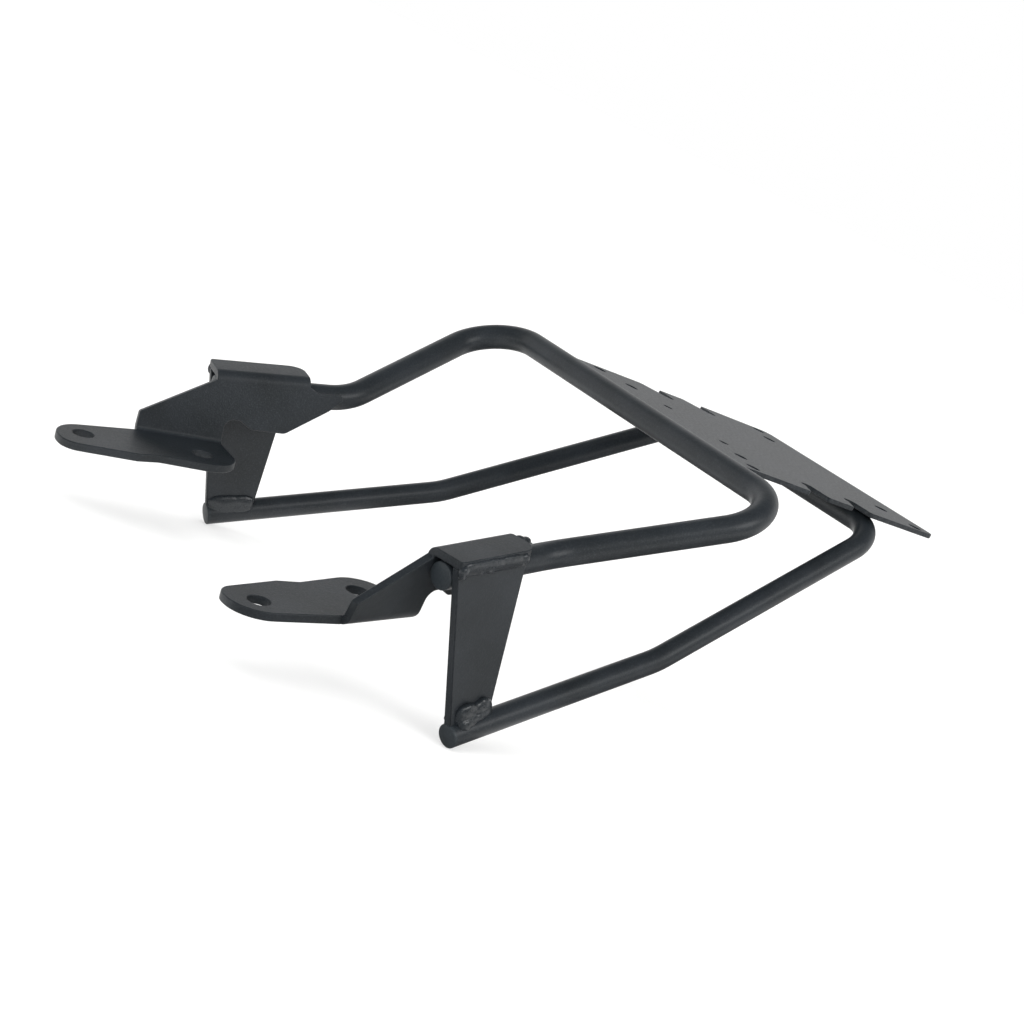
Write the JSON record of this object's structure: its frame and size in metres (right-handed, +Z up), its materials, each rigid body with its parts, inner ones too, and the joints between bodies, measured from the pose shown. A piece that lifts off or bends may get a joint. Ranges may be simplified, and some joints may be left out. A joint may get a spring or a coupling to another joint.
{
  "type": "motorcycle luggage rack",
  "caption": "Black powder-coated steel luggage rack for a motorcycle's tail: bent tube hoops carry a flat drilled plate with strap notches, and folded side brackets bolt to the bike.",
  "frame": {"origin": "centre of the plate's outer bolt holes, on the plate's top face", "axes": "+X to the rider's left, +Y to the rear of the motorcycle, +Z up and square to the plate's top face"},
  "size_m": [0.3226, 0.4936, 0.1947],
  "materials": {
    "powder_coat": "satin, finely textured black powder coat"
  },
  "bodies": {
    "root": {"bracket_left": "powder_coat", "bracket_right": "powder_coat", "flange_bead_left": "powder_coat", "flange_bead_right": "powder_coat", "foot_bead_inner_left": "powder_coat", "foot_bead_inner_right": "powder_coat", "foot_bead_outer_left": "powder_coat", "foot_bead_outer_right": "powder_coat", "front_bead_1": "powder_coat", "front_bead_2": "powder_coat", "front_bead_3": "powder_coat", "gusset_left": "powder_coat", "gusset_right": "powder_coat", "lower_end_left": "powder_coat", "lower_end_right": "powder_coat", "lower_hoop": "powder_coat", "luggage_plate": "powder_coat", "rear_bead_1": "powder_coat", "rear_bead_2": "powder_coat", "rear_bead_3": "powder_coat", "tube_bead_left": "powder_coat", "tube_bead_right": "powder_coat", "upper_end_left": "powder_coat", "upper_end_right": "powder_coat", "upper_hoop": "powder_coat"}
  },
  "joints": []
}
